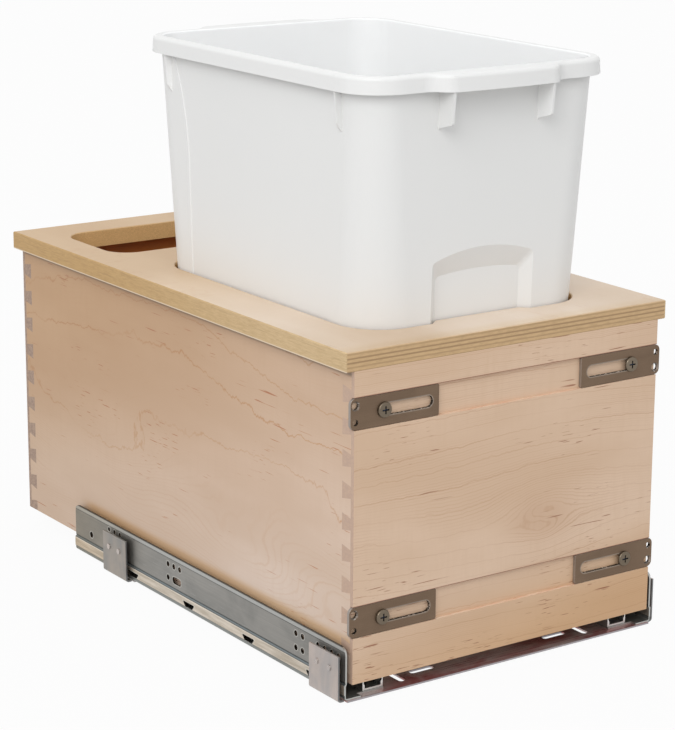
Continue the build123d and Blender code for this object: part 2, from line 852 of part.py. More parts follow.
# The long sides carry a shallow sunk panel that flares towards the rim
with BuildPart() as side_panels:
    half_waist = panel_waist / 2
    half_flare = panel_flare / 2
    flare_start = rim_bottom - panel_flare_height
    with BuildSketch(Plane.YZ.offset(-bin_mouth_width / 2)):
        with BuildLine():
            Polyline(
                (bin_centre + half_waist, flare_start),
                (bin_centre + half_waist, panel_top + bin_base_radius / 2),
                (bin_centre - half_waist, panel_top + bin_base_radius / 2),
                (bin_centre - half_waist, flare_start),
            )
            TangentArc(
                (bin_centre - half_waist, flare_start),
                (bin_centre - half_flare, rim_bottom),
                tangent=(0, 1),
            )
            Line((bin_centre - half_flare, rim_bottom), (bin_centre + half_flare, rim_bottom))
            TangentArc(
                (bin_centre + half_waist, flare_start),
                (bin_centre + half_flare, rim_bottom),
                tangent=(0, 1),
            )
        make_face()
    extrude(amount=bin_mouth_width)
    add(tapered_body(panel_top, rim_bottom, panel_sink), mode=Mode.SUBTRACT)

with BuildPart() as bin_cavity:
    add(tapered_body(panel_top + bin_floor_thickness, rim_top, bin_wall))
    inner_base = bin_cavity.faces().sort_by(Axis.Z)[0].edges()
    fillet(inner_base, bin_base_round - bin_wall)
    add(recess_block(bin_wall), mode=Mode.SUBTRACT)

# Gusset ribs hang under the rim, square and a little narrower below
def ribs(plane, centre, wall, reach):
    """Sketch of a pair of ribs, from the middle of the bin out to a reach on both sides."""
    rib_low = rim_bottom - rib_drop
    corners = [
        (wall, rib_low - rib_foot),
        (wall + rib_foot, rib_low),
        (reach - rib_taper, rib_low + rib_lift),
        (reach, rim_bottom),
        (reach, rim_top - rim_top_thickness / 2),
    ]
    with BuildSketch(plane) as outline:
        with Locations((centre, 0)):
            Polygon(corners + [(-x, z) for x, z in reversed(corners)], align=None)
        levels = outline.vertices().group_by(Axis.Y)
        fillet(levels[1] + levels[2], rib_round)
    return outline.sketch


with BuildPart() as waste_bin:
    add(tapered_body(panel_top, rim_top, 0))
    fillet(waste_bin.faces().sort_by(Axis.Z)[0].edges(), bin_base_round)
    add(side_panels.part, mode=Mode.SUBTRACT)
    add(recess_block(0), mode=Mode.SUBTRACT)
    add(rim.part)
    rib_foot_height = rim_bottom - rib_drop - rib_foot
    side_wall = bin_size(rib_foot_height, bin_mouth_width, bin_base_width) / 2
    side_reach = rim_width / 2 - rib_setback
    end_wall = bin_size(rib_foot_height, bin_mouth_length, bin_base_length) / 2
    end_reach = rim_length / 2 + grip_shoulder - rib_setback
    for hand in (1, -1):
        side_plane = section_at(bin_centre + hand * side_rib_spacing / 2)
        extrude(ribs(side_plane, 0, side_wall, side_reach), amount=rib_thickness / 2, both=True)
        end_plane = Plane.YZ.offset(hand * end_rib_spacing / 2)
        extrude(ribs(end_plane, bin_centre, end_wall, end_reach), amount=rib_thickness / 2, both=True)
    add(bin_cavity.part, mode=Mode.SUBTRACT)
    fillet(waste_bin.faces().sort_by(Axis.Z)[-1].inner_wires()[0].edges(), mouth_round)
finish(waste_bin.part, "bin")
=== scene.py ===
import math

import bpy
from mathutils import Matrix, Vector


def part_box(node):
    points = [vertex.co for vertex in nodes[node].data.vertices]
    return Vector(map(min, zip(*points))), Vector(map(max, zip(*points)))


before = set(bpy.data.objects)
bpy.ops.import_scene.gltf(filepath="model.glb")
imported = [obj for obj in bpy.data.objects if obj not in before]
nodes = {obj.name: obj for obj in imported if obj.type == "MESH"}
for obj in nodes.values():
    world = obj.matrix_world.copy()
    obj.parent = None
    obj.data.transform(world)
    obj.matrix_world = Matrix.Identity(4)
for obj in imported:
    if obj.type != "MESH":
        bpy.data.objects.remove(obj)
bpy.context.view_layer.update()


# Node tree helpers
def addNode(tree, kind, **settings):
    node = tree.nodes.new(kind)
    for name, value in settings.items():
        setattr(node, name, value)
    return node


def feed(tree, socket, value):  # links a socket, or sets its number or colour
    if isinstance(value, bpy.types.NodeSocket):
        tree.links.new(value, socket)
    elif value is not None:
        socket.default_value = value


def calc(tree, operation, first, second=None, third=None):
    node = addNode(tree, "ShaderNodeMath", operation=operation)
    for socket, value in zip(node.inputs, (first, second, third)):
        feed(tree, socket, value)
    return node.outputs[0]


def times(tree, first, *others):
    for other in others:
        first = calc(tree, "MULTIPLY", first, other)
    return first


def minus(tree, first, second):
    return calc(tree, "SUBTRACT", first, second)


def separate(tree, vector):
    node = addNode(tree, "ShaderNodeSeparateXYZ")
    feed(tree, node.inputs[0], vector)
    return node.outputs


def ramp(tree, value, low, high, start=0.0, end=1.0):  # smooth step between low and high
    node = addNode(tree, "ShaderNodeMapRange", interpolation_type="SMOOTHSTEP")
    feed(tree, node.inputs["Value"], value)
    for name, number in (("From Min", low), ("From Max", high), ("To Min", start), ("To Max", end)):
        feed(tree, node.inputs[name], number)
    return node.outputs["Result"]


def pattern(tree, vector, look):  # noise, or a mask where the look says between which levels
    place = addNode(tree, "ShaderNodeMapping")
    feed(tree, place.inputs["Vector"], vector)
    place.inputs["Scale"].default_value = look["stretch"]
    place.inputs["Location"].default_value = look.get("shift", (0.0, 0.0, 0.0))
    node = addNode(tree, "ShaderNodeTexNoise")
    feed(tree, node.inputs["Vector"], place.outputs[0])
    node.inputs["Scale"].default_value = 1.0
    for name, usual in (("Detail", 2.0), ("Roughness", 0.5), ("Distortion", 0.0)):
        node.inputs[name].default_value = look.get(name.lower(), usual)
    if "between" not in look:
        return node.outputs["Fac"]
    return ramp(tree, node.outputs["Fac"], *look["between"], 0.0, look.get("strength", 1.0))


def blendColor(tree, amount, first, second, mode="MIX"):
    node = addNode(tree, "ShaderNodeMix", data_type="RGBA", blend_type=mode, clamp_factor=True)
    feed(tree, node.inputs[0], amount)
    for socket, value in ((node.inputs[6], first), (node.inputs[7], second)):
        feed(tree, socket, (*value, 1.0) if isinstance(value, tuple) else value)
    return node.outputs[2]


def tint(tree, amount, color, factor):  # multiplies the colour where the amount is 1
    return blendColor(tree, amount, color, blendColor(tree, 1.0, color, factor, "MULTIPLY"))


def newGroup(name, inputs, outputs):  # an input without a number takes a vector
    tree = bpy.data.node_groups.new(name, "ShaderNodeTree")
    for label, number in inputs.items():
        kind = "NodeSocketVector" if number is None else "NodeSocketFloat"
        socket = tree.interface.new_socket(name=label, in_out="INPUT", socket_type=kind)
        feed(tree, socket, number)
    for label in outputs:
        tree.interface.new_socket(name=label, in_out="OUTPUT", socket_type="NodeSocketFloat")
    given = tree.nodes.new("NodeGroupInput")
    result = tree.nodes.new("NodeGroupOutput")
    return tree, given.outputs, result.inputs


def useGroup(tree, group, **values):
    node = addNode(tree, "ShaderNodeGroup", node_tree=group)
    for name, value in values.items():
        feed(tree, node.inputs[name], value)
    return node.outputs


def newMaterial(name, **sockets):
    material = bpy.data.materials.new(name)
    material.use_nodes = True
    tree = material.node_tree
    shader = tree.nodes["Principled BSDF"]
    for socket, value in sockets.items():
        feed(tree, shader.inputs[socket.replace("_", " ")], value)
    place = addNode(tree, "ShaderNodeTexCoord")
    return material, tree, shader, place.outputs["Object"]


def bumpInto(tree, shader, height, strength, depth=0.0002):
    node = addNode(tree, "ShaderNodeBump")
    node.inputs["Strength"].default_value = strength
    node.inputs["Distance"].default_value = depth
    feed(tree, node.inputs["Height"], height)
    tree.links.new(node.outputs["Normal"], shader.inputs["Normal"])


def dress(material, *names):
    for name in names:
        slots = nodes[name].data.materials
        slots.clear()
        slots.append(material)


# Shared effects
def stripe(tree, height, halfWidth):  # 1 along thin lines, one for each whole step of height
    offLine = calc(tree, "ABSOLUTE", minus(tree, calc(tree, "FRACT", height), 0.5))
    return ramp(tree, offLine, 0.0, halfWidth, 1.0, 0.0)


def uneven(tree, height, least):  # each whole step of height has its own strength
    node = addNode(tree, "ShaderNodeTexWhiteNoise", noise_dimensions="1D")
    feed(tree, node.inputs["W"], calc(tree, "FLOOR", height))
    return calc(tree, "MULTIPLY_ADD", node.outputs["Value"], 1.0 - least, least)


grainPatterns = {  # stretched along the grain first, then across it
    "broad": {"stretch": (3.0, 9.0, 9.0), "detail": 1.0},
    "jag": {"stretch": (62.0, 27.0, 27.0), "detail": 4.0, "roughness": 0.6},
    "patches": {"stretch": (9.0, 20.0, 20.0), "shift": (3.1, 7.2, 0.4), "detail": 1.0},
    "fleck": {"stretch": (60.0, 900.0, 900.0), "detail": 1.0},
    "fleckArea": {"stretch": (12.0, 24.0, 24.0), "shift": (1.7, 0.0, 5.0), "detail": 1.0},
    "streak": {"stretch": (21.0, 480.0, 480.0), "shift": (0.0, 0.0, 3.0), "detail": 1.0,
               "between": (0.71, 0.76)},
    "streakArea": {"stretch": (9.0, 17.0, 17.0), "shift": (6.0, 1.0, 2.0), "detail": 1.0},
    "fibre": {"stretch": (40.0, 1500.0, 1500.0), "roughness": 0.7},
    "curl": {"stretch": (170.0, 22.0, 22.0), "shift": (0.0, 5.0, 0.0), "roughness": 0.6,
             "between": (0.42, 0.70)},
    "tone": {"stretch": (4.0, 14.0, 14.0), "shift": (0.0, 2.0, 9.0), "detail": 3.0},
}
grainLevels = {
    "knotSquash": 0.55, "knotFlat": 0.6, "knotShown": (0.35, 1.5), "warpScale": 2.0,
    "turnWander": 0.12, "turnFade": 0.02, "lineFade": (0.28, 0.5, 0.35, 1.0), "faintestLine": 0.25,
    "fineJag": 1.3, "fineWidth": 0.22, "faintestFine": 0.15, "fineAbove": 0.8,
    "fineArea": (0.35, 0.6), "fleckBoost": 0.25, "fleck": (0.68, 0.74), "fleckArea": (0.56, 0.65),
    "streakArea": (0.52, 0.60),
}


def makeWoodGrain():  # the grain runs along X, the growth lines are stacked along Y
    tree, given, result = newGroup(
        "woodGrain",
        {"Position": None, "Spacing": 0.04, "Warp": 2.0, "Wiggle": 0.5, "Width": 0.02,
         "Turn": -1.0, "KnotX": 0.0, "KnotY": 0.0, "KnotSize": 0.0, "FineRate": 7.0,
         "Flecking": 0.0},
        ["Lines", "Fine", "Flecks", "Fibre", "Tone", "Knot", "Curl"],
    )
    levels = grainLevels
    parts = separate(tree, given["Position"])
    field = {name: pattern(tree, given["Position"], look) for name, look in grainPatterns.items()}
    # the lines part round a knot
    sideways = times(tree, minus(tree, parts["X"], given["KnotX"]), levels["knotSquash"])
    upwards = minus(tree, parts["Y"], given["KnotY"])
    away = calc(tree, "MULTIPLY_ADD", upwards, upwards, times(tree, sideways, sideways))
    core = times(tree, given["KnotSize"], given["KnotSize"])
    near = calc(tree, "DIVIDE", core, calc(tree, "MULTIPLY_ADD", core, levels["knotFlat"], away))
    parted = minus(tree, parts["Y"], times(tree, upwards, near))
    feed(tree, result["Knot"], ramp(tree, near, *levels["knotShown"]))
    # growth lines, broadly warped and finely jagged, only above the height where the figure turns
    smooth = calc(tree, "DIVIDE", parted, given["Spacing"])
    warp = times(tree, given["Warp"], levels["warpScale"])
    smooth = calc(tree, "MULTIPLY_ADD", field["broad"], warp, smooth)
    height = calc(tree, "MULTIPLY_ADD", field["jag"], given["Wiggle"], smooth)
    wander = minus(tree, field["patches"], 0.5)
    above = calc(tree, "MULTIPLY_ADD", wander, levels["turnWander"], parts["Y"])
    above = minus(tree, above, given["Turn"])
    above = ramp(tree, above, -levels["turnFade"], levels["turnFade"])
    faded = ramp(tree, field["patches"], *levels["lineFade"])
    lines = times(tree, stripe(tree, height, given["Width"]), faded)
    lines = times(tree, lines, uneven(tree, height, levels["faintestLine"]), above)
    feed(tree, result["Lines"], lines)
    # finer lines between them, fainter above the turn
    jagged = times(tree, field["jag"], levels["fineJag"])
    fineHeight = calc(tree, "MULTIPLY_ADD", smooth, given["FineRate"], jagged)
    fine = stripe(tree, fineHeight, levels["fineWidth"])
    fine = times(tree, fine, uneven(tree, fineHeight, levels["faintestFine"]))
    below = calc(tree, "MULTIPLY_ADD", above, -levels["fineAbove"], 1.0)
    below = times(tree, below, ramp(tree, field["patches"], *levels["fineArea"]))
    feed(tree, result["Fine"], times(tree, fine, below))
    # short dark dashes and longer streaks in loose clusters
    fleck = calc(tree, "MULTIPLY_ADD", given["Flecking"], levels["fleckBoost"], field["fleck"])
    fleckArea = calc(tree, "ADD", field["fleckArea"], given["Flecking"])
    short = ramp(tree, fleck, *levels["fleck"])
    short = times(tree, short, ramp(tree, fleckArea, *levels["fleckArea"]))
    streakArea = calc(tree, "ADD", field["streakArea"], given["Flecking"])
    long = times(tree, field["streak"], ramp(tree, streakArea, *levels["streakArea"]))
    feed(tree, result["Flecks"], calc(tree, "MAXIMUM", short, long))
    feed(tree, result["Curl"], times(tree, field["curl"], field["patches"]))
    feed(tree, result["Fibre"], field["fibre"])
    feed(tree, result["Tone"], field["tone"])
    return tree


wearPatterns = {  # stretched along the rolling direction first
    "Clouds": {"stretch": (18.0, 30.0, 30.0), "detail": 3.0, "roughness": 0.55, "distortion": 0.6,
               "between": (0.35, 0.65)},
    "Streaks": {"stretch": (6.0, 900.0, 900.0), "detail": 3.0, "roughness": 0.6},
    "Speckle": {"stretch": (1400.0, 1400.0, 1400.0)},
    "Scratches": {"stretch": (35.0, 1100.0, 1100.0), "shift": (4.0, 0.0, 0.0), "detail": 1.0,
                  "distortion": 0.3, "between": (0.70, 0.76)},
}


def makeMetalWear():  # cloudy patches (stains, and on the front tie plate a painted reflection of the wood above it), rolling streaks, speckle and scratches of bare or plated sheet
    tree, given, result = newGroup("metalWear", {"Position": None}, wearPatterns)
    for name, look in wearPatterns.items():
        feed(tree, result[name], pattern(tree, given["Position"], look))
    return tree


woodGrain = makeWoodGrain()
metalWear = makeMetalWear()
print("shared effects ready")


def swapAxes(tree, vector, order, shift=(0.0, 0.0, 0.0)):  # Object coordinates, grain first
    parts = separate(tree, vector)
    joined = addNode(tree, "ShaderNodeCombineXYZ")
    for socket, letter, move in zip(joined.inputs, order, shift):
        feed(tree, socket, calc(tree, "ADD", parts[letter], move))
    return joined.outputs[0]


faceTurn = (0.6, 0.8)  # how squarely a face has to look that way, for none and for all


def facing(tree, letter):  # 1 where a face looks along an axis of the object, either way
    normal = addNode(tree, "ShaderNodeTexCoord").outputs["Normal"]
    return ramp(tree, calc(tree, "ABSOLUTE", separate(tree, normal)[letter]), *faceTurn)


def within(tree, vector, letter, reach):  # 1 where a coordinate's size is under a reach
    return calc(tree, "LESS_THAN", calc(tree, "ABSOLUTE", separate(tree, vector)[letter]), reach)


def lineAt(tree, value, level, halfWidth):  # 1 on a thin line at one level
    offLine = calc(tree, "ABSOLUTE", minus(tree, value, level))
    return ramp(tree, offLine, 0.0, halfWidth, 1.0, 0.0)


# Wood
boardCoat = {"Roughness": 0.46, "Coat_Weight": 0.06, "Coat_Roughness": 0.35}
# painted shade inside the box: a brown tint under the rear cut-out, a milder one in front
insideShade = {"x": 0.1415, "y": 0.2632, "tint": (0.88, 0.43, 0.15), "frontTint": (0.97, 0.86, 0.72),
             "turn": (-0.02, 0.11)}
boardZones = {  # where the boards change colour, in metres
    "rearFade": 0.03, "baseFade": 0.004, "cornerLean": 0.25, "corner": (-0.01, 0.12),
    "agedLean": 0.45, "aged": (-0.05, 0.36), "low": (0.06, 0.17), "rearEnds": (-0.05, 0.05),
}
boardPatterns = {
    "pores": {"stretch": (500.0, 500.0, 500.0), "detail": 3.0, "roughness": 0.7,
              "between": (0.3, 0.7), "strength": 0.45},
    "torn": {"stretch": (60.0, 400.0, 400.0), "between": (0.4, 0.6)},
    "splinters": {"stretch": (95.0, 600.0, 600.0), "detail": 1.0, "between": (0.60, 0.68),
                  "strength": 0.6},
}
mapleLevels = {"tone": (0.3, 0.7), "fibre": (0.35, 0.75), "knot": 0.25}
sideBoard = {
    "order": "YZX", "endAxis": "Y", "shift": (0.12, 0.0, 0.0),
    "spacing": 0.043, "warp": 1.6, "wiggle": 0.62, "width": 0.032, "turn": 0.125,
    "knot": (0.0, 0.0, 0.0), "lines": 0.90, "fine": 0.33, "fineRate": 12.0, "fibre": 0.18,
    "flecks": 0.85, "curl": 0.30, "bump": 0.12, "aged": (0.76, 0.62, 0.43),
    # on the sides the foot keys place a painted warm shade in a band just above the flange
    "footLean": 0.0, "footReach": (0.049, 0.057), "footTint": (0.94, 0.81, 0.60),
    "footFlecks": 0.0, "footBase": 0.045, "footRear": 0.175, "lowTint": (1.03, 1.08, 1.14),
    "pale": (0.713, 0.545, 0.429), "deep": (0.637, 0.462, 0.339),
    "line": (0.545, 0.295, 0.135), "fleck": (0.460, 0.155, 0.052),
    "endFront": (0.420, 0.290, 0.210), "endBack": (0.420, 0.290, 0.210),
}
crossBoard = {
    "order": "XZY", "endAxis": "X", "shift": (0.3, 0.0, 0.1),
    "spacing": 0.0135, "warp": 1.5, "wiggle": 0.42, "width": 0.050, "turn": -1.0,
    "knot": (0.337, 0.121, 0.024), "lines": 0.44, "fine": 1.9, "fineRate": 7.0, "fibre": 0.24,
    "flecks": 0.85, "curl": 0.55, "bump": 0.12, "aged": (0.98, 0.95, 0.90),
    "footLean": -0.2, "footReach": (0.0, 0.09), "footTint": (0.93, 0.82, 0.65),
    "footFlecks": 0.17, "footBase": -1.0, "footRear": 1.0, "lowTint": (1.0, 1.0, 1.0),
    "pale": (0.718, 0.530, 0.387), "deep": (0.634, 0.445, 0.302),
    "line": (0.400, 0.190, 0.085), "fleck": (0.260, 0.085, 0.035),
    "endFront": (0.500, 0.345, 0.265), "endBack": (0.270, 0.175, 0.130),
}
panelBoard = dict(sideBoard, order="YXZ", shift=(0.1, 0.3, 0.2), turn=-1.0, lines=0.3)


def mapleColor(tree, grain, figure):
    tone = ramp(tree, grain["Tone"], *mapleLevels["tone"])
    fibre = ramp(tree, grain["Fibre"], *mapleLevels["fibre"])
    color = blendColor(tree, tone, figure["pale"], figure["deep"])
    layers = (
        (grain["Knot"], mapleLevels["knot"], "line"), (grain["Fine"], figure["fine"], "line"),
        (grain["Lines"], figure["lines"], "line"), (fibre, figure["fibre"], "deep"),
        (grain["Curl"], figure["curl"], "deep"), (grain["Flecks"], figure["flecks"], "fleck"),
    )
    for mask, strength, shade in layers:
        color = blendColor(tree, times(tree, mask, strength), color, figure[shade])
    return color


def useGrain(tree, place, figure, flecking=0.0):
    knotX, knotY, knotSize = figure["knot"]
    return useGroup(
        tree, woodGrain, Position=swapAxes(tree, place, figure["order"], figure["shift"]),
        Spacing=figure["spacing"], Warp=figure["warp"], Wiggle=figure["wiggle"],
        Width=figure["width"], Turn=figure["turn"], KnotX=knotX, KnotY=knotY, KnotSize=knotSize,
        FineRate=figure["fineRate"], Flecking=flecking,
    )


def makeBoardMaterial(name, figure):
    material, tree, shader, place = newMaterial(name, **boardCoat)
    parts = separate(tree, place)
    # warmer and more flecked towards the foot of the front and back boards; on the sides, a painted
    # warm shade in a band just above the flange
    leaning = calc(tree, "MULTIPLY_ADD", parts["X"], figure["footLean"], parts["Z"])
    rear, base = figure["footRear"], figure["footBase"]
    foot = times(
        tree, ramp(tree, leaning, *figure["footReach"], 1.0, 0.0),
        ramp(tree, parts["Y"], rear - boardZones["rearFade"], rear, 1.0, 0.0),
        ramp(tree, parts["Z"], base - boardZones["baseFade"], base),
    )
    corner = calc(tree, "MULTIPLY_ADD", parts["X"], boardZones["cornerLean"], parts["Z"])
    corner = ramp(tree, corner, *boardZones["corner"], 1.0, 0.0)
    grain = useGrain(tree, place, figure, times(tree, corner, figure["footFlecks"]))
    color = tint(tree, foot, mapleColor(tree, grain, figure), figure["footTint"])
    # yellow towards the top and the rear, pink low down
    aged = calc(tree, "MULTIPLY_ADD", parts["Y"], boardZones["agedLean"], parts["Z"])
    color = tint(tree, ramp(tree, aged, *boardZones["aged"]), color, figure["aged"])
    low = ramp(tree, parts["Z"], *boardZones["low"], 1.0, 0.0)
    color = tint(tree, low, color, figure["lowTint"])
    # end grain with pale pores
    rearward = ramp(tree, parts["Y"], *boardZones["rearEnds"])
    endColor = blendColor(tree, rearward, figure["endFront"], figure["endBack"])
    pores = pattern(tree, place, boardPatterns["pores"])
    endColor = blendColor(tree, pores, endColor, figure["deep"])
    color = blendColor(tree, facing(tree, figure["endAxis"]), color, endColor)
    # painted shade inside the box: brown, strongest under the rear cut-out and milder towards the
    # front
    indoors = within(tree, place, "X", insideShade["x"])
    indoors = times(tree, indoors, within(tree, place, "Y", insideShade["y"]))
    rearward = ramp(tree, parts["Y"], *insideShade["turn"])
    insideShadeColor = blendColor(tree, rearward, insideShade["frontTint"], insideShade["tint"])
    color = tint(tree, indoors, color, insideShadeColor)
    bumpInto(tree, shader, grain["Fibre"], figure["bump"])
    return material, tree, shader, place, color


# painted shadow lines: under the deck on the side boards, and along the grooves of the front board
paintedShadowLines = {"underDeck": (0.2698, 0.2726), "deckShade": (0.085, 0.050, 0.032),
         "deckShadeStrength": 0.6, "grooves": (0.2544, 0.0809), "grooveHalfWidth": 0.0010,
         "grooveShade": (0.230, 0.075, 0.040), "frontY": -0.27}
tornFibre = {"color": (0.790, 0.605, 0.460), "shade": (0.760, 0.500, 0.350),
             "fleck": (0.620, 0.290, 0.160)}


def makeSideMaterial(name, figure):  # painted shadow: a dark line on the board just under the deck's overhang
    material, tree, shader, place, color = makeBoardMaterial(name, figure)
    height = separate(tree, place)["Z"]
    paintedShadow = ramp(tree, height, *paintedShadowLines["underDeck"], 0.0, paintedShadowLines["deckShadeStrength"])
    feed(tree, shader.inputs["Base Color"], blendColor(tree, paintedShadow, color, paintedShadowLines["deckShade"]))
    return material


def makeFrontMaterial():  # torn fibres show along the cut walls of the grooves, and a painted shadow line runs along each groove on the front face
    material, tree, shader, place, color = makeBoardMaterial("mapleCrossBoards", crossBoard)
    torn = pattern(tree, place, boardPatterns["torn"])
    torn = blendColor(tree, torn, tornFibre["color"], tornFibre["shade"])
    splinters = pattern(tree, place, boardPatterns["splinters"])
    torn = blendColor(tree, splinters, torn, tornFibre["fleck"])
    color = blendColor(tree, facing(tree, "Z"), color, torn)
    parts = separate(tree, place)
    atFront = calc(tree, "LESS_THAN", parts["Y"], paintedShadowLines["frontY"])
    atFront = times(tree, facing(tree, "Y"), atFront)
    # painted shadow: a dark line along each groove
    for level in paintedShadowLines["grooves"]:
        paintedShadow = times(tree, lineAt(tree, parts["Z"], level, paintedShadowLines["grooveHalfWidth"]), atFront)
        color = blendColor(tree, paintedShadow, color, paintedShadowLines["grooveShade"])
    feed(tree, shader.inputs["Base Color"], color)
    return material


dress(makeSideMaterial("mapleSides", sideBoard), "left_side", "right_side")
dress(makeSideMaterial("maplePanel", panelBoard), "bottom_panel")
dress(makeFrontMaterial(), "front_board", "back_board")

deckBoard = {
    "order": "YXZ", "shift": (0.5, 0.21, 0.0),
    "spacing": 0.07, "warp": 1.5, "wiggle": 0.35, "width": 0.03, "turn": -1.0,
    "knot": (0.0, 0.0, 0.0), "lines": 0.20, "fine": 0.12, "fineRate": 7.0, "fibre": 0.12,
    "flecks": 0.25, "curl": 0.35, "bump": 0.08,
    "pale": (0.685, 0.542, 0.405), "deep": (0.630, 0.476, 0.334), "aged": (0.88, 0.77, 0.59),
    "line": (0.560, 0.340, 0.190), "fleck": (0.420, 0.200, 0.100),
    # "bright" is painted light beside and in front of the bin
    "bright": (1.20, 1.29, 1.44), "frontTint": (0.95, 0.91, 0.82),
    "plyCount": 9.0, "plyWave": 0.012, "plyLine": (0.22, 0.40), "faintestPly": 0.45,
    "plyPale": (0.588, 0.394, 0.203), "plyDark": (0.335, 0.208, 0.098),
    "wall": (0.800, 0.510, 0.228), "wallShade": (0.600, 0.360, 0.145), "wallFibre": (0.3, 0.7),
}
deckZones = {  # where the deck's face changes colour, in metres
    "aged": (-0.25, 0.15), "besideX": (0.09, 0.115), "besideFront": (-0.24, -0.14),
    "besideRear": (-0.02, 0.07), "beforeLeft": (-0.085, -0.03), "beforeRight": (0.05, 0.13),
    "beforeRear": (-0.24, -0.21), "frontEdge": (-0.276, -0.258), "cutOutReach": 0.27,
}
deckPatterns = {
    "plyWave": {"stretch": (14.0, 14.0, 60.0)},
    "plyFibres": {"stretch": (160.0, 160.0, 900.0), "detail": 3.0, "roughness": 0.7,
                  "between": (0.4, 0.7), "strength": 0.35},
}
edgeBand = {
    "pale": (0.673, 0.494, 0.275), "dark": (0.528, 0.362, 0.179), "streak": (0.330, 0.210, 0.095),
    "aged": (0.84, 0.72, 0.50), "paintedEdgeHighlight": (0.760, 0.630, 0.470), "lowEdgeRise": (0.0005, 0.0012),
    "lowEdgeStrength": 0.85, "specks": (0.2, 0.8), "bump": 0.06,
}
bandPatterns = {
    "speckle": {"stretch": (500.0, 120.0, 1000.0), "detail": 3.0, "roughness": 0.7},
    "streaks": {"stretch": (30.0, 24.0, 700.0), "roughness": 0.6, "between": (0.5, 0.75),
                "strength": 0.3},
}
deckLow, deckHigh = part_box("deck")


def makeDeckMaterial():
    material, tree, shader, place = newMaterial(
        "plywoodDeck", Roughness=0.48, Coat_Weight=0.06, Coat_Roughness=0.3)
    parts = separate(tree, place)
    grain = useGrain(tree, place, deckBoard)
    aged = ramp(tree, parts["Y"], *deckZones["aged"])
    face = tint(tree, aged, mapleColor(tree, grain, deckBoard), deckBoard["aged"])
    # painted light: the face is brightened beside the bin and in front of it; it is also yellow at
    # the front edge
    beside = times(
        tree, ramp(tree, parts["Y"], *deckZones["besideRear"], 1.0, 0.0),
        ramp(tree, parts["Y"], *deckZones["besideFront"]),
        ramp(tree, calc(tree, "ABSOLUTE", parts["X"]), *deckZones["besideX"]),
    )
    before = times(
        tree, ramp(tree, parts["X"], *deckZones["beforeLeft"]),
        ramp(tree, parts["X"], *deckZones["beforeRight"], 1.0, 0.0),
        ramp(tree, parts["Y"], *deckZones["beforeRear"], 1.0, 0.0),
    )
    face = tint(tree, calc(tree, "MAXIMUM", beside, before), face, deckBoard["bright"])
    frontEdge = ramp(tree, parts["Y"], *deckZones["frontEdge"], 1.0, 0.0)
    face = tint(tree, frontEdge, face, deckBoard["frontTint"])
    # plies along the outer edges, plain wood along the walls of the cut-outs
    level = minus(tree, parts["Z"], deckLow.z)
    level = calc(tree, "DIVIDE", level, deckHigh.z - deckLow.z)
    wave = pattern(tree, place, deckPatterns["plyWave"])
    level = calc(tree, "MULTIPLY_ADD", wave, deckBoard["plyWave"], level)
    layer = times(tree, level, deckBoard["plyCount"] / 2)
    swing = calc(tree, "ABSOLUTE", minus(tree, calc(tree, "FRACT", layer), 0.5))
    strength = uneven(tree, calc(tree, "ADD", layer, 0.5), deckBoard["faintestPly"])
    dark = times(tree, ramp(tree, swing, *deckBoard["plyLine"]), strength)
    plies = blendColor(tree, dark, deckBoard["plyPale"], deckBoard["plyDark"])
    fibres = pattern(tree, place, deckPatterns["plyFibres"])
    plies = blendColor(tree, fibres, plies, deckBoard["plyDark"])
    wallGrain = ramp(tree, grain["Fibre"], *deckBoard["wallFibre"])
    wall = blendColor(tree, wallGrain, deckBoard["wall"], deckBoard["wallShade"])
    edge = blendColor(tree, within(tree, place, "Y", deckZones["cutOutReach"]), plies, wall)
    feed(tree, shader.inputs["Base Color"], blendColor(tree, facing(tree, "Z"), edge, face))
    bumpInto(tree, shader, grain["Fibre"], deckBoard["bump"])
    return material


def makeBandMaterial():
    material, tree, shader, place = newMaterial(
        "mapleBand", Roughness=0.48, Coat_Weight=0.06, Coat_Roughness=0.35)
    parts = separate(tree, place)
    speckle = pattern(tree, place, bandPatterns["speckle"])
    specks = ramp(tree, speckle, *edgeBand["specks"])
    color = blendColor(tree, specks, edgeBand["pale"], edgeBand["dark"])
    streaks = pattern(tree, place, bandPatterns["streaks"])
    color = blendColor(tree, streaks, color, edgeBand["streak"])
    color = tint(tree, ramp(tree, parts["Y"], *deckZones["aged"]), color, edgeBand["aged"])
    # painted highlight: a pale line along the band's lower edge
    low, high = (deckLow.z + rise for rise in edgeBand["lowEdgeRise"])
    paintedEdgeHighlight = ramp(tree, parts["Z"], low, high, edgeBand["lowEdgeStrength"], 0.0)
    feed(tree, shader.inputs["Base Color"], blendColor(tree, paintedEdgeHighlight, color, edgeBand["paintedEdgeHighlight"]))
    bumpInto(tree, shader, speckle, edgeBand["bump"])
    return material


dress(makeDeckMaterial(), "deck")
dress(makeBandMaterial(), "left_edge_band", "right_edge_band")
print("wood ready")


# Metal
def makeSheet(name, order, finish):
    material, tree, shader, place = newMaterial(name, Metallic=finish["metallic"])
    wear = useGroup(tree, metalWear, Position=swapAxes(tree, place, order))
    # cloudy stains; on the front tie plate the patches are a painted reflection of the wood above
    # it
    color = blendColor(tree, wear["Clouds"], finish["color"], finish["stainAndReflection"])
    streaks = times(tree, wear["Streaks"], finish["streaks"])
    color = blendColor(tree, streaks, color, finish["dark"])
    scratches = times(tree, wear["Scratches"], finish["scratches"])
    color = blendColor(tree, scratches, color, finish["bright"])
    low, high = finish["roughness"]
    roughness = calc(tree, "MULTIPLY_ADD", wear["Streaks"], high - low, low)
    feed(tree, shader.inputs["Roughness"], roughness)
    bumpInto(tree, shader, wear["Speckle"], finish["bump"], 0.0001)
    return material, tree, shader, place, color


def makeSheetMaterial(name, order, finish):  # the sheet's cut edges have their own colour
    material, tree, shader, place, color = makeSheet(name, order, finish)
    color = blendColor(tree, facing(tree, "Y"), color, finish["cutEdge"])
    feed(tree, shader.inputs["Base Color"], color)
    return material


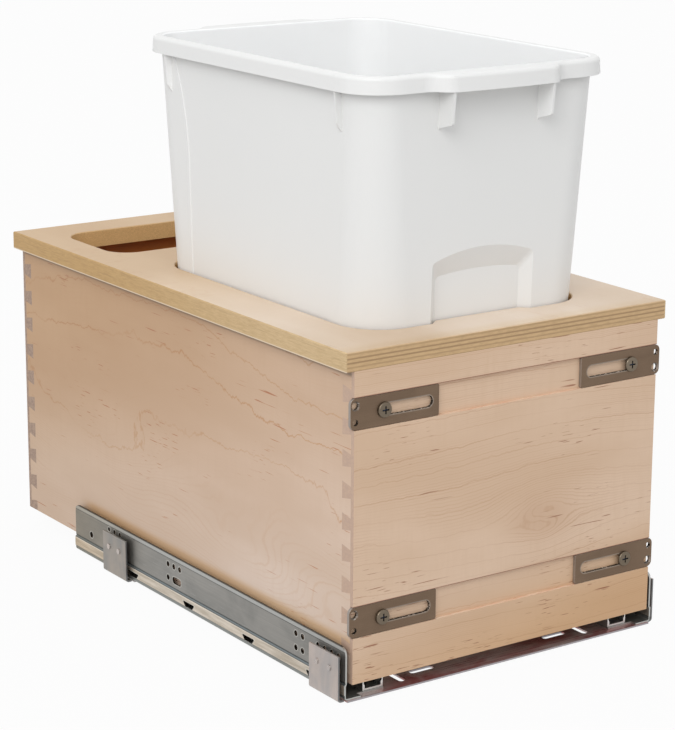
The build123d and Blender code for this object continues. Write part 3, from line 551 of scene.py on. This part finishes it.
zincFinish = {
    "color": (0.332, 0.318, 0.294), "stainAndReflection": (0.266, 0.258, 0.240), "dark": (0.150, 0.155, 0.150),
    "bright": (0.520, 0.530, 0.520), "cutEdge": (0.480, 0.480, 0.460), "streaks": 0.35,
    "scratches": 0.25, "metallic": 0.85, "roughness": (0.34, 0.52), "bump": 0.10,
}
runnerFinish = dict(zincFinish, color=(0.36, 0.37, 0.36), cutEdge=(0.80, 0.79, 0.76))
clipFinish = {
    "color": (0.575, 0.497, 0.452), "stainAndReflection": (0.408, 0.389, 0.385), "dark": (0.290, 0.270, 0.260),
    "bright": (0.640, 0.620, 0.600), "cutEdge": (0.200, 0.200, 0.200), "streaks": 0.15,
    "scratches": 0.2, "metallic": 0.8, "roughness": (0.38, 0.52), "bump": 0.12,
    "rearTint": (0.69, 0.70, 0.67),
}
rivetFinish = dict(clipFinish, cutEdge=(0.45, 0.43, 0.41), roughness=(0.2, 0.35))
# the pink colour and red patches of the front tie plate are a painted reflection of the wooden
# underside above it
tieFinish = {
    "color": (0.560, 0.450, 0.430), "stainAndReflection": (0.360, 0.095, 0.090), "dark": (0.200, 0.130, 0.120),
    "bright": (0.600, 0.520, 0.500), "cutEdge": (0.360, 0.335, 0.350), "streaks": 0.15,
    "scratches": 0.15, "metallic": 0.6, "roughness": (0.22, 0.36), "bump": 0.03,
}
rearTieFinish = dict(tieFinish, color=(0.500, 0.475, 0.455), stainAndReflection=(0.350, 0.325, 0.310))
bracketFinish = {
    "color": (0.222, 0.150, 0.098), "stainAndReflection": (0.192, 0.128, 0.083), "dark": (0.115, 0.077, 0.050),
    "bright": (0.260, 0.220, 0.185), "cutEdge": (0.360, 0.320, 0.290), "streaks": 0.15,
    "scratches": 0.1, "metallic": 0.75, "roughness": (0.42, 0.56), "bump": 0.14,
    # "wall" is painted shade and "glint" painted glints on the slot walls; "rim" is a painted
    # highlight round the slot
    "wall": (0.030, 0.024, 0.018), "glint": (0.800, 0.760, 0.720), "rim": (0.420, 0.370, 0.320),
    "rimStrength": 0.5,
}
screwFinish = {
    "color": (0.205, 0.166, 0.123), "stainAndReflection": (0.166, 0.132, 0.095), "dark": (0.130, 0.108, 0.085),
    "bright": (0.420, 0.380, 0.340), "streaks": 0.15, "scratches": 0.1, "metallic": 0.9,
    "roughness": (0.26, 0.40), "bump": 0.05, "recess": (0.020, 0.030, 0.055), "headY": -0.2804,
}
ballFinish = dict(rivetFinish, color=(0.55, 0.55, 0.55), stainAndReflection=(0.50, 0.50, 0.50),
                  cutEdge=(0.55, 0.55, 0.55), roughness=(0.06, 0.12))
railBands = {
    "strip": (0.680, 0.605, 0.515), "stripShade": (0.500, 0.435, 0.350), "stripTop": 0.0148,
    "foot": (0.250, 0.258, 0.245), "footTop": 0.0061, "hem": (0.470, 0.472, 0.455),
    "hemFoot": 0.0430, "hemStrength": 0.8, "rearTint": (0.90, 0.82, 0.70), "rear": (0.0, 0.2),
    # "wall" is painted shade in the holes and windows; "rim" is a pale ring round them, partly
    # painted highlight
    "groove": (0.200, 0.225, 0.232), "grooveTop": 0.0164, "wall": (0.045, 0.036, 0.026),
    "wallTurn": (0.2, 0.4), "rim": (0.620, 0.600, 0.550), "rimStrength": 0.6,
}
railWalls = (("Y", -0.2750, 0.1715), ("Z", 0.0062, 0.0425))  # the holes lie between these
paintedFoldLines = [  # painted shade lines and one pale painted highlight line along the folds: height, half width, strength, colour
    (0.0061, 0.0006, 0.80, (0.110, 0.080, 0.060)), (0.0143, 0.0006, 0.70, (0.820, 0.760, 0.670)),
    (0.0149, 0.0004, 0.70, (0.080, 0.075, 0.070)), (0.0169, 0.0009, 0.85, (0.045, 0.055, 0.060)),
    (0.0428, 0.0007, 0.75, (0.060, 0.062, 0.060)), (0.0469, 0.0007, 0.85, (0.020, 0.020, 0.020)),
]
holePitch = 0.010
flangeHoles = [  # middle of the row along Y, height, radius, count
    (-0.2523, 0.0370, 0.0025, 4), (-0.2098, 0.0370, 0.0025, 2), (-0.2098, 0.0245, 0.0025, 2),
    (-0.0083, 0.0370, 0.0025, 3), (0.0987, 0.0395, 0.0020, 3), (-0.2673, 0.0245, 0.0025, 1),
    (0.0017, 0.0245, 0.0025, 1), (0.1427, 0.0245, 0.0030, 1),
]
flangeSlot = {"y": -0.0133, "z": 0.0245, "radius": 0.00325, "reach": 0.00425}
stripWindows = {"first": -0.2308, "pitch": 0.098, "count": 4, "z": 0.0087, "halfHeight": 0.0023,
                "halfLength": 0.0080, "slant": 0.87, "rim": (0.0003, 0.0010)}
holeRim = (0.0004, 0.0011)  # where the bright rim fades out, outside the hole
sheetPatterns = {
    "stripMottle": {"stretch": (40.0, 22.0, 300.0), "detail": 3.0, "roughness": 0.6,
                    "between": (0.35, 0.65)},
    "bracketGrit": {"stretch": (1500.0, 1500.0, 1500.0), "roughness": 0.7,
                    "between": (0.3, 0.7), "strength": 0.35},
    "wallGlints": {"stretch": (700.0, 300.0, 700.0), "roughness": 0.7, "between": (0.54, 0.66)},
}


def offHole(tree, along, middle, count, pitch):  # distance along a row to its nearest hole
    start = middle - (count - 1) / 2 * pitch
    index = calc(tree, "ROUND", calc(tree, "DIVIDE", minus(tree, along, start), pitch))
    index = calc(tree, "MINIMUM", calc(tree, "MAXIMUM", index, 0.0), float(count - 1))
    return minus(tree, along, calc(tree, "MULTIPLY_ADD", index, pitch, start))


def rimOf(tree, along, height, z, radius):  # 1 close round a hole
    across = minus(tree, height, z)
    away = calc(tree, "MULTIPLY_ADD", along, along, times(tree, across, across))
    inner, outer = (radius + width for width in holeRim)
    return ramp(tree, calc(tree, "SQRT", away), inner, outer, 1.0, 0.0)


def makeFlangeRims(tree, parts):
    along = calc(tree, "ABSOLUTE", minus(tree, parts["Y"], flangeSlot["y"]))
    along = calc(tree, "MAXIMUM", minus(tree, along, flangeSlot["reach"]), 0.0)
    rims = rimOf(tree, along, parts["Z"], flangeSlot["z"], flangeSlot["radius"])
    for middle, z, radius, count in flangeHoles:
        along = offHole(tree, parts["Y"], middle, count, holePitch)
        rims = calc(tree, "MAXIMUM", rims, rimOf(tree, along, parts["Z"], z, radius))
    # the windows in the strip narrow downwards
    pitch, count = stripWindows["pitch"], stripWindows["count"]
    middle = stripWindows["first"] + pitch * (count - 1) / 2
    along = calc(tree, "ABSOLUTE", offHole(tree, parts["Y"], middle, count, pitch))
    across = minus(tree, parts["Z"], stripWindows["z"])
    ends = calc(tree, "MULTIPLY_ADD", across, -stripWindows["slant"], along)
    ends = minus(tree, ends, stripWindows["halfLength"])
    outside = minus(tree, calc(tree, "ABSOLUTE", across), stripWindows["halfHeight"])
    outside = calc(tree, "MAXIMUM", ends, outside)
    window = ramp(tree, outside, *stripWindows["rim"], 1.0, 0.0)
    return calc(tree, "MAXIMUM", rims, window)


def makeFlangeMaterial():  # foot, pale strip, groove and hem, with painted shade and highlight lines along the folds between them
    material, tree, shader, place, color = makeSheet("zincPlate", "YZX", zincFinish)
    parts = separate(tree, place)
    height = parts["Z"]
    mottle = pattern(tree, place, sheetPatterns["stripMottle"])
    strip = blendColor(tree, mottle, railBands["strip"], railBands["stripShade"])
    bands = {"grooveTop": railBands["groove"], "stripTop": strip, "footTop": railBands["foot"]}
    for top, bandColor in bands.items():  # from the top down, each over the one before
        below = calc(tree, "LESS_THAN", height, railBands[top])
        color = blendColor(tree, below, color, bandColor)
    hem = calc(tree, "GREATER_THAN", height, railBands["hemFoot"])
    hem = times(tree, hem, railBands["hemStrength"])
    color = blendColor(tree, hem, color, railBands["hem"])
    rear = ramp(tree, parts["Y"], *railBands["rear"])
    color = tint(tree, rear, color, railBands["rearTint"])
    # painted shade and highlight along the folds
    for level, halfWidth, strength, lineColor in paintedFoldLines:
        foldShading = times(tree, lineAt(tree, height, level, halfWidth), strength)
        color = blendColor(tree, foldShading, color, lineColor)
    # pale rings round the holes, the slot and the windows: partly the punched edge, partly painted
    # highlight
    rims = times(tree, makeFlangeRims(tree, parts), railBands["rimStrength"])
    color = blendColor(tree, rims, color, railBands["rim"])
    color = blendColor(tree, facing(tree, "Y"), color, zincFinish["cutEdge"])
    # painted shade: the walls of the holes and windows are darkened
    normal = separate(tree, addNode(tree, "ShaderNodeTexCoord").outputs["Normal"])
    paintedShadeWalls = calc(tree, "ABSOLUTE", normal["X"])
    paintedShadeWalls = ramp(tree, paintedShadeWalls, *railBands["wallTurn"], 1.0, 0.0)
    for letter, low, high in railWalls:
        paintedShadeWalls = times(tree, paintedShadeWalls, calc(tree, "GREATER_THAN", parts[letter], low))
        paintedShadeWalls = times(tree, paintedShadeWalls, calc(tree, "LESS_THAN", parts[letter], high))
    feed(tree, shader.inputs["Base Color"], blendColor(tree, paintedShadeWalls, color, railBands["wall"]))
    return material


def makeClipMaterial():  # the rear clips are darker
    material, tree, shader, place, color = makeSheet("clipSteel", "ZYX", clipFinish)
    rear = calc(tree, "GREATER_THAN", separate(tree, place)["Y"], 0.0)
    color = tint(tree, rear, color, clipFinish["rearTint"])
    color = blendColor(tree, facing(tree, "Y"), color, clipFinish["cutEdge"])
    feed(tree, shader.inputs["Base Color"], color)
    return material


bracketPlan = {"middle": 0.15425, "rise": 0.08675, "slotInner": 0.0852, "slotOuter": 0.1282,
               "slotRadius": 0.005, "insideX": (0.0752, 0.1585), "insideZ": 0.0112}


def makeBracketMaterial():  # painted highlight round the slot and on the edges; painted shade with painted glints on the walls of the slot
    material, tree, shader, place, color = makeSheet("bracketNickel", "XZY", bracketFinish)
    plan, finish = bracketPlan, bracketFinish
    grit = pattern(tree, place, sheetPatterns["bracketGrit"])
    color = blendColor(tree, grit, color, finish["dark"])
    parts = separate(tree, place)
    sideways = calc(tree, "ABSOLUTE", parts["X"])
    above = calc(tree, "ABSOLUTE", minus(tree, parts["Z"], plan["middle"]))
    above = minus(tree, above, plan["rise"])
    nearest = calc(tree, "MAXIMUM", sideways, plan["slotInner"])
    nearest = calc(tree, "MINIMUM", nearest, plan["slotOuter"])
    # painted highlight: a pale ring round the slot
    rim = rimOf(tree, minus(tree, sideways, nearest), above, 0.0, plan["slotRadius"])
    color = blendColor(tree, times(tree, rim, finish["rimStrength"]), color, finish["rim"])
    # painted highlight: the edges are paler
    edges = minus(tree, 1.0, facing(tree, "Y"))
    color = blendColor(tree, edges, color, finish["cutEdge"])
    low, high = plan["insideX"]
    inside = times(
        tree, calc(tree, "GREATER_THAN", sideways, low), calc(tree, "LESS_THAN", sideways, high),
        calc(tree, "LESS_THAN", calc(tree, "ABSOLUTE", above), plan["insideZ"]), edges,
    )
    # painted shade with painted glints on the walls of the slot
    glints = pattern(tree, place, sheetPatterns["wallGlints"])
    wall = blendColor(tree, glints, finish["wall"], finish["glint"])
    feed(tree, shader.inputs["Base Color"], blendColor(tree, inside, color, wall))
    return material


def makeScrewMaterial():  # painted shade: the cross recess is darkened, tinged blue
    material, tree, shader, place, color = makeSheet("screwSteel", "XZY", screwFinish)
    sunk = calc(tree, "GREATER_THAN", separate(tree, place)["Y"], screwFinish["headY"])
    sunk = times(tree, sunk, facing(tree, "Y"))
    feed(tree, shader.inputs["Base Color"], blendColor(tree, sunk, color, screwFinish["recess"]))
    return material


dress(makeFlangeMaterial(), "left_flange_rail", "right_flange_rail")
dress(makeSheetMaterial("runnerSteel", "YZX", runnerFinish),
      "left_runner_channel", "right_runner_channel", "left_middle_rail", "right_middle_rail",
      "left_drawer_rail", "right_drawer_rail")
dress(makeClipMaterial(), *[name for name in nodes if "clip_plate" in name])
dress(makeSheetMaterial("tieSteel", "XYZ", tieFinish), "front_tie_plate")
dress(makeSheetMaterial("rearTieSteel", "XYZ", rearTieFinish), "rear_tie_plate")
dress(makeSheetMaterial("rivetSteel", "XYZ", rivetFinish), "clip_rivets", "web_rivets")
dress(makeBracketMaterial(), *[name for name in nodes if name.endswith("_bracket")])
dress(makeScrewMaterial(), "bracket_screws", "rail_screws")
dress(makeSheetMaterial("ballSteel", "XYZ", ballFinish),
      *[name for name in nodes if name.endswith("_balls")])
print("metal ready")


# Moulded plastic and rubber
# the inside colour is painted light: the inner walls are paler than the outside
binFinish = {
    "color": (0.800, 0.800, 0.785), "shade": (0.775, 0.777, 0.765), "inside": (0.930, 0.935, 0.930),
    "insideTurn": (-0.06, -0.02), "roughness": (0.34, 0.46), "bump": 0.10,
}
binPatterns = {
    "clouds": {"stretch": (7.0, 7.0, 3.0)},
    "texture": {"stretch": (900.0, 900.0, 900.0), "roughness": 0.6},
    "flow": {"stretch": (30.0, 30.0, 4.0)},
}
smallParts = {
    "cage": {"color": (0.05, 0.052, 0.055), "roughness": 0.4},
    "stop": {"color": (0.02, 0.02, 0.02), "roughness": 0.6},
    "mottle": {"stretch": (220.0, 220.0, 220.0), "detail": 3.0},
    "lighter": 1.5, "rougher": 0.15, "bump": 0.1,
}
binLow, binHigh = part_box("bin")


def makeBinMaterial():
    material, tree, shader, place = newMaterial(
        "binPlastic", IOR=1.49, Subsurface_Weight=0.12, Subsurface_Radius=(0.010, 0.010, 0.010),
        Subsurface_Scale=0.4)
    clouds, texture, flow = (pattern(tree, place, look) for look in binPatterns.values())
    color = blendColor(tree, clouds, binFinish["color"], binFinish["shade"])
    # painted light: the inner walls, whose faces look towards the middle of the bin, are paler than
    # the outside
    middle = ((binLow.x + binHigh.x) / 2, (binLow.y + binHigh.y) / 2, binHigh.z)
    outward = addNode(tree, "ShaderNodeVectorMath", operation="SUBTRACT")
    feed(tree, outward.inputs[0], place)
    outward.inputs[1].default_value = middle
    outward = separate(tree, outward.outputs["Vector"])
    normal = separate(tree, addNode(tree, "ShaderNodeTexCoord").outputs["Normal"])
    away = times(tree, outward["X"], normal["X"])
    away = calc(tree, "MULTIPLY_ADD", outward["Y"], normal["Y"], away)
    inside = ramp(tree, away, *binFinish["insideTurn"], 1.0, 0.0)
    feed(tree, shader.inputs["Base Color"], blendColor(tree, inside, color, binFinish["inside"]))
    low, high = binFinish["roughness"]
    feed(tree, shader.inputs["Roughness"], calc(tree, "MULTIPLY_ADD", flow, high - low, low))
    bumpInto(tree, shader, texture, binFinish["bump"])
    return material


def makePlainMoulding(name, finish):
    material, tree, shader, place = newMaterial(name)
    mottle = pattern(tree, place, smallParts["mottle"])
    lighter = tuple(channel * smallParts["lighter"] for channel in finish["color"])
    feed(tree, shader.inputs["Base Color"], blendColor(tree, mottle, finish["color"], lighter))
    rough = calc(tree, "MULTIPLY_ADD", mottle, smallParts["rougher"], finish["roughness"])
    feed(tree, shader.inputs["Roughness"], rough)
    bumpInto(tree, shader, mottle, smallParts["bump"])
    return material


dress(makeBinMaterial(), "bin")
dress(makePlainMoulding("cagePlastic", smallParts["cage"]),
      *[name for name in nodes if name.endswith("_cage")])
dress(makePlainMoulding("stopRubber", smallParts["stop"]), "runner_end_stops")
print("plastic ready")


# Studio: a white room, soft lamps and the camera
studio = {
    "floorSize": 12.0,
    "floorDrop": 0.0005,
    "floorColor": (0.55, 0.55, 0.55),
    "floorGlow": 0.95,
    "worldColor": (0.98, 0.985, 1.0),
    "worldStrength": 0.85,
}
lampTable = {
    "keySoftbox": {"at": (-2.11, -1.84, 2.20), "aim": (0, 0, 0.2), "size": 1.8, "power": 40},
    "topSoftbox": {"at": (0.0, 0.2, 2.8), "aim": (0, 0, 0.2), "size": 2.2, "power": 3},
}
cameraView = {
    "at": (-1.2031, -1.7718, 0.7610),
    "yaw": 34.60,
    "pitch": -14.74,
    "roll": -0.30,
    "focalPixels": 2425.3,
    "longSidePixels": 730.0,
    "sensor": 36.0,
}


def seenWhite(tree):  # 1 where the room is seen, mirrored or seen through, not where it lights
    path = addNode(tree, "ShaderNodeLightPath")
    seen = calc(tree, "MAXIMUM", path.outputs["Is Camera Ray"], path.outputs["Is Glossy Ray"])
    return calc(tree, "MAXIMUM", seen, path.outputs["Is Transmission Ray"])


def mixInto(tree, amount, first, second, output):
    mixer = addNode(tree, "ShaderNodeMixShader")
    feed(tree, mixer.inputs[0], amount)
    tree.links.new(first.outputs[0], mixer.inputs[1])
    tree.links.new(second.outputs[0], mixer.inputs[2])
    tree.links.new(mixer.outputs[0], tree.nodes[output].inputs["Surface"])


def makeFloor():
    bpy.ops.object.select_all(action="DESELECT")
    middle = (0, 0, -studio["floorDrop"])
    bpy.ops.mesh.primitive_plane_add(size=studio["floorSize"], location=middle)
    floor = bpy.context.object
    floor.name = "studioFloor"
    bpy.ops.object.transform_apply(location=True, rotation=True, scale=True)
    material, tree, shader, place = newMaterial(
        "floorWhite", Roughness=0.9, Base_Color=(*studio["floorColor"], 1.0))
    glow = addNode(tree, "ShaderNodeEmission")
    amount = times(tree, seenWhite(tree), studio["floorGlow"])
    mixInto(tree, amount, shader, glow, "Material Output")
    floor.data.materials.append(material)


def makeWorld():
    world = bpy.data.worlds.new("studioWorld")
    bpy.context.scene.world = world
    world.use_nodes = True
    tree = world.node_tree
    lit = tree.nodes["Background"]
    lit.inputs["Color"].default_value = (*studio["worldColor"], 1.0)
    lit.inputs["Strength"].default_value = studio["worldStrength"]
    plain = addNode(tree, "ShaderNodeBackground")
    plain.inputs["Color"].default_value = (1.0, 1.0, 1.0, 1.0)
    mixInto(tree, seenWhite(tree), lit, plain, "World Output")


def makeLamps():
    for name, lamp in lampTable.items():
        light = bpy.data.lights.new(name, "AREA")
        light.energy = lamp["power"]
        light.size = lamp["size"]
        holder = bpy.data.objects.new(name, light)
        bpy.context.collection.objects.link(holder)
        holder.location = lamp["at"]
        direction = Vector(lamp["aim"]) - Vector(lamp["at"])
        holder.rotation_euler = direction.to_track_quat("-Z", "Y").to_euler()


def makeCamera():
    data = bpy.data.cameras.new("photoCamera")
    data.sensor_width = cameraView["sensor"]
    data.lens = cameraView["focalPixels"] / cameraView["longSidePixels"] * cameraView["sensor"]
    camera = bpy.data.objects.new("photoCamera", data)
    bpy.context.collection.objects.link(camera)
    turn = Matrix.Rotation(-math.radians(cameraView["yaw"]), 4, "Z")
    tilt = Matrix.Rotation(math.radians(90 + cameraView["pitch"]), 4, "X")
    roll = Matrix.Rotation(-math.radians(cameraView["roll"]), 4, "Z")
    camera.matrix_world = Matrix.Translation(cameraView["at"]) @ turn @ tilt @ roll
    bpy.context.scene.camera = camera


makeFloor()
makeWorld()
makeLamps()
makeCamera()
bpy.context.scene.view_settings.view_transform = "Standard"
print("studio ready")
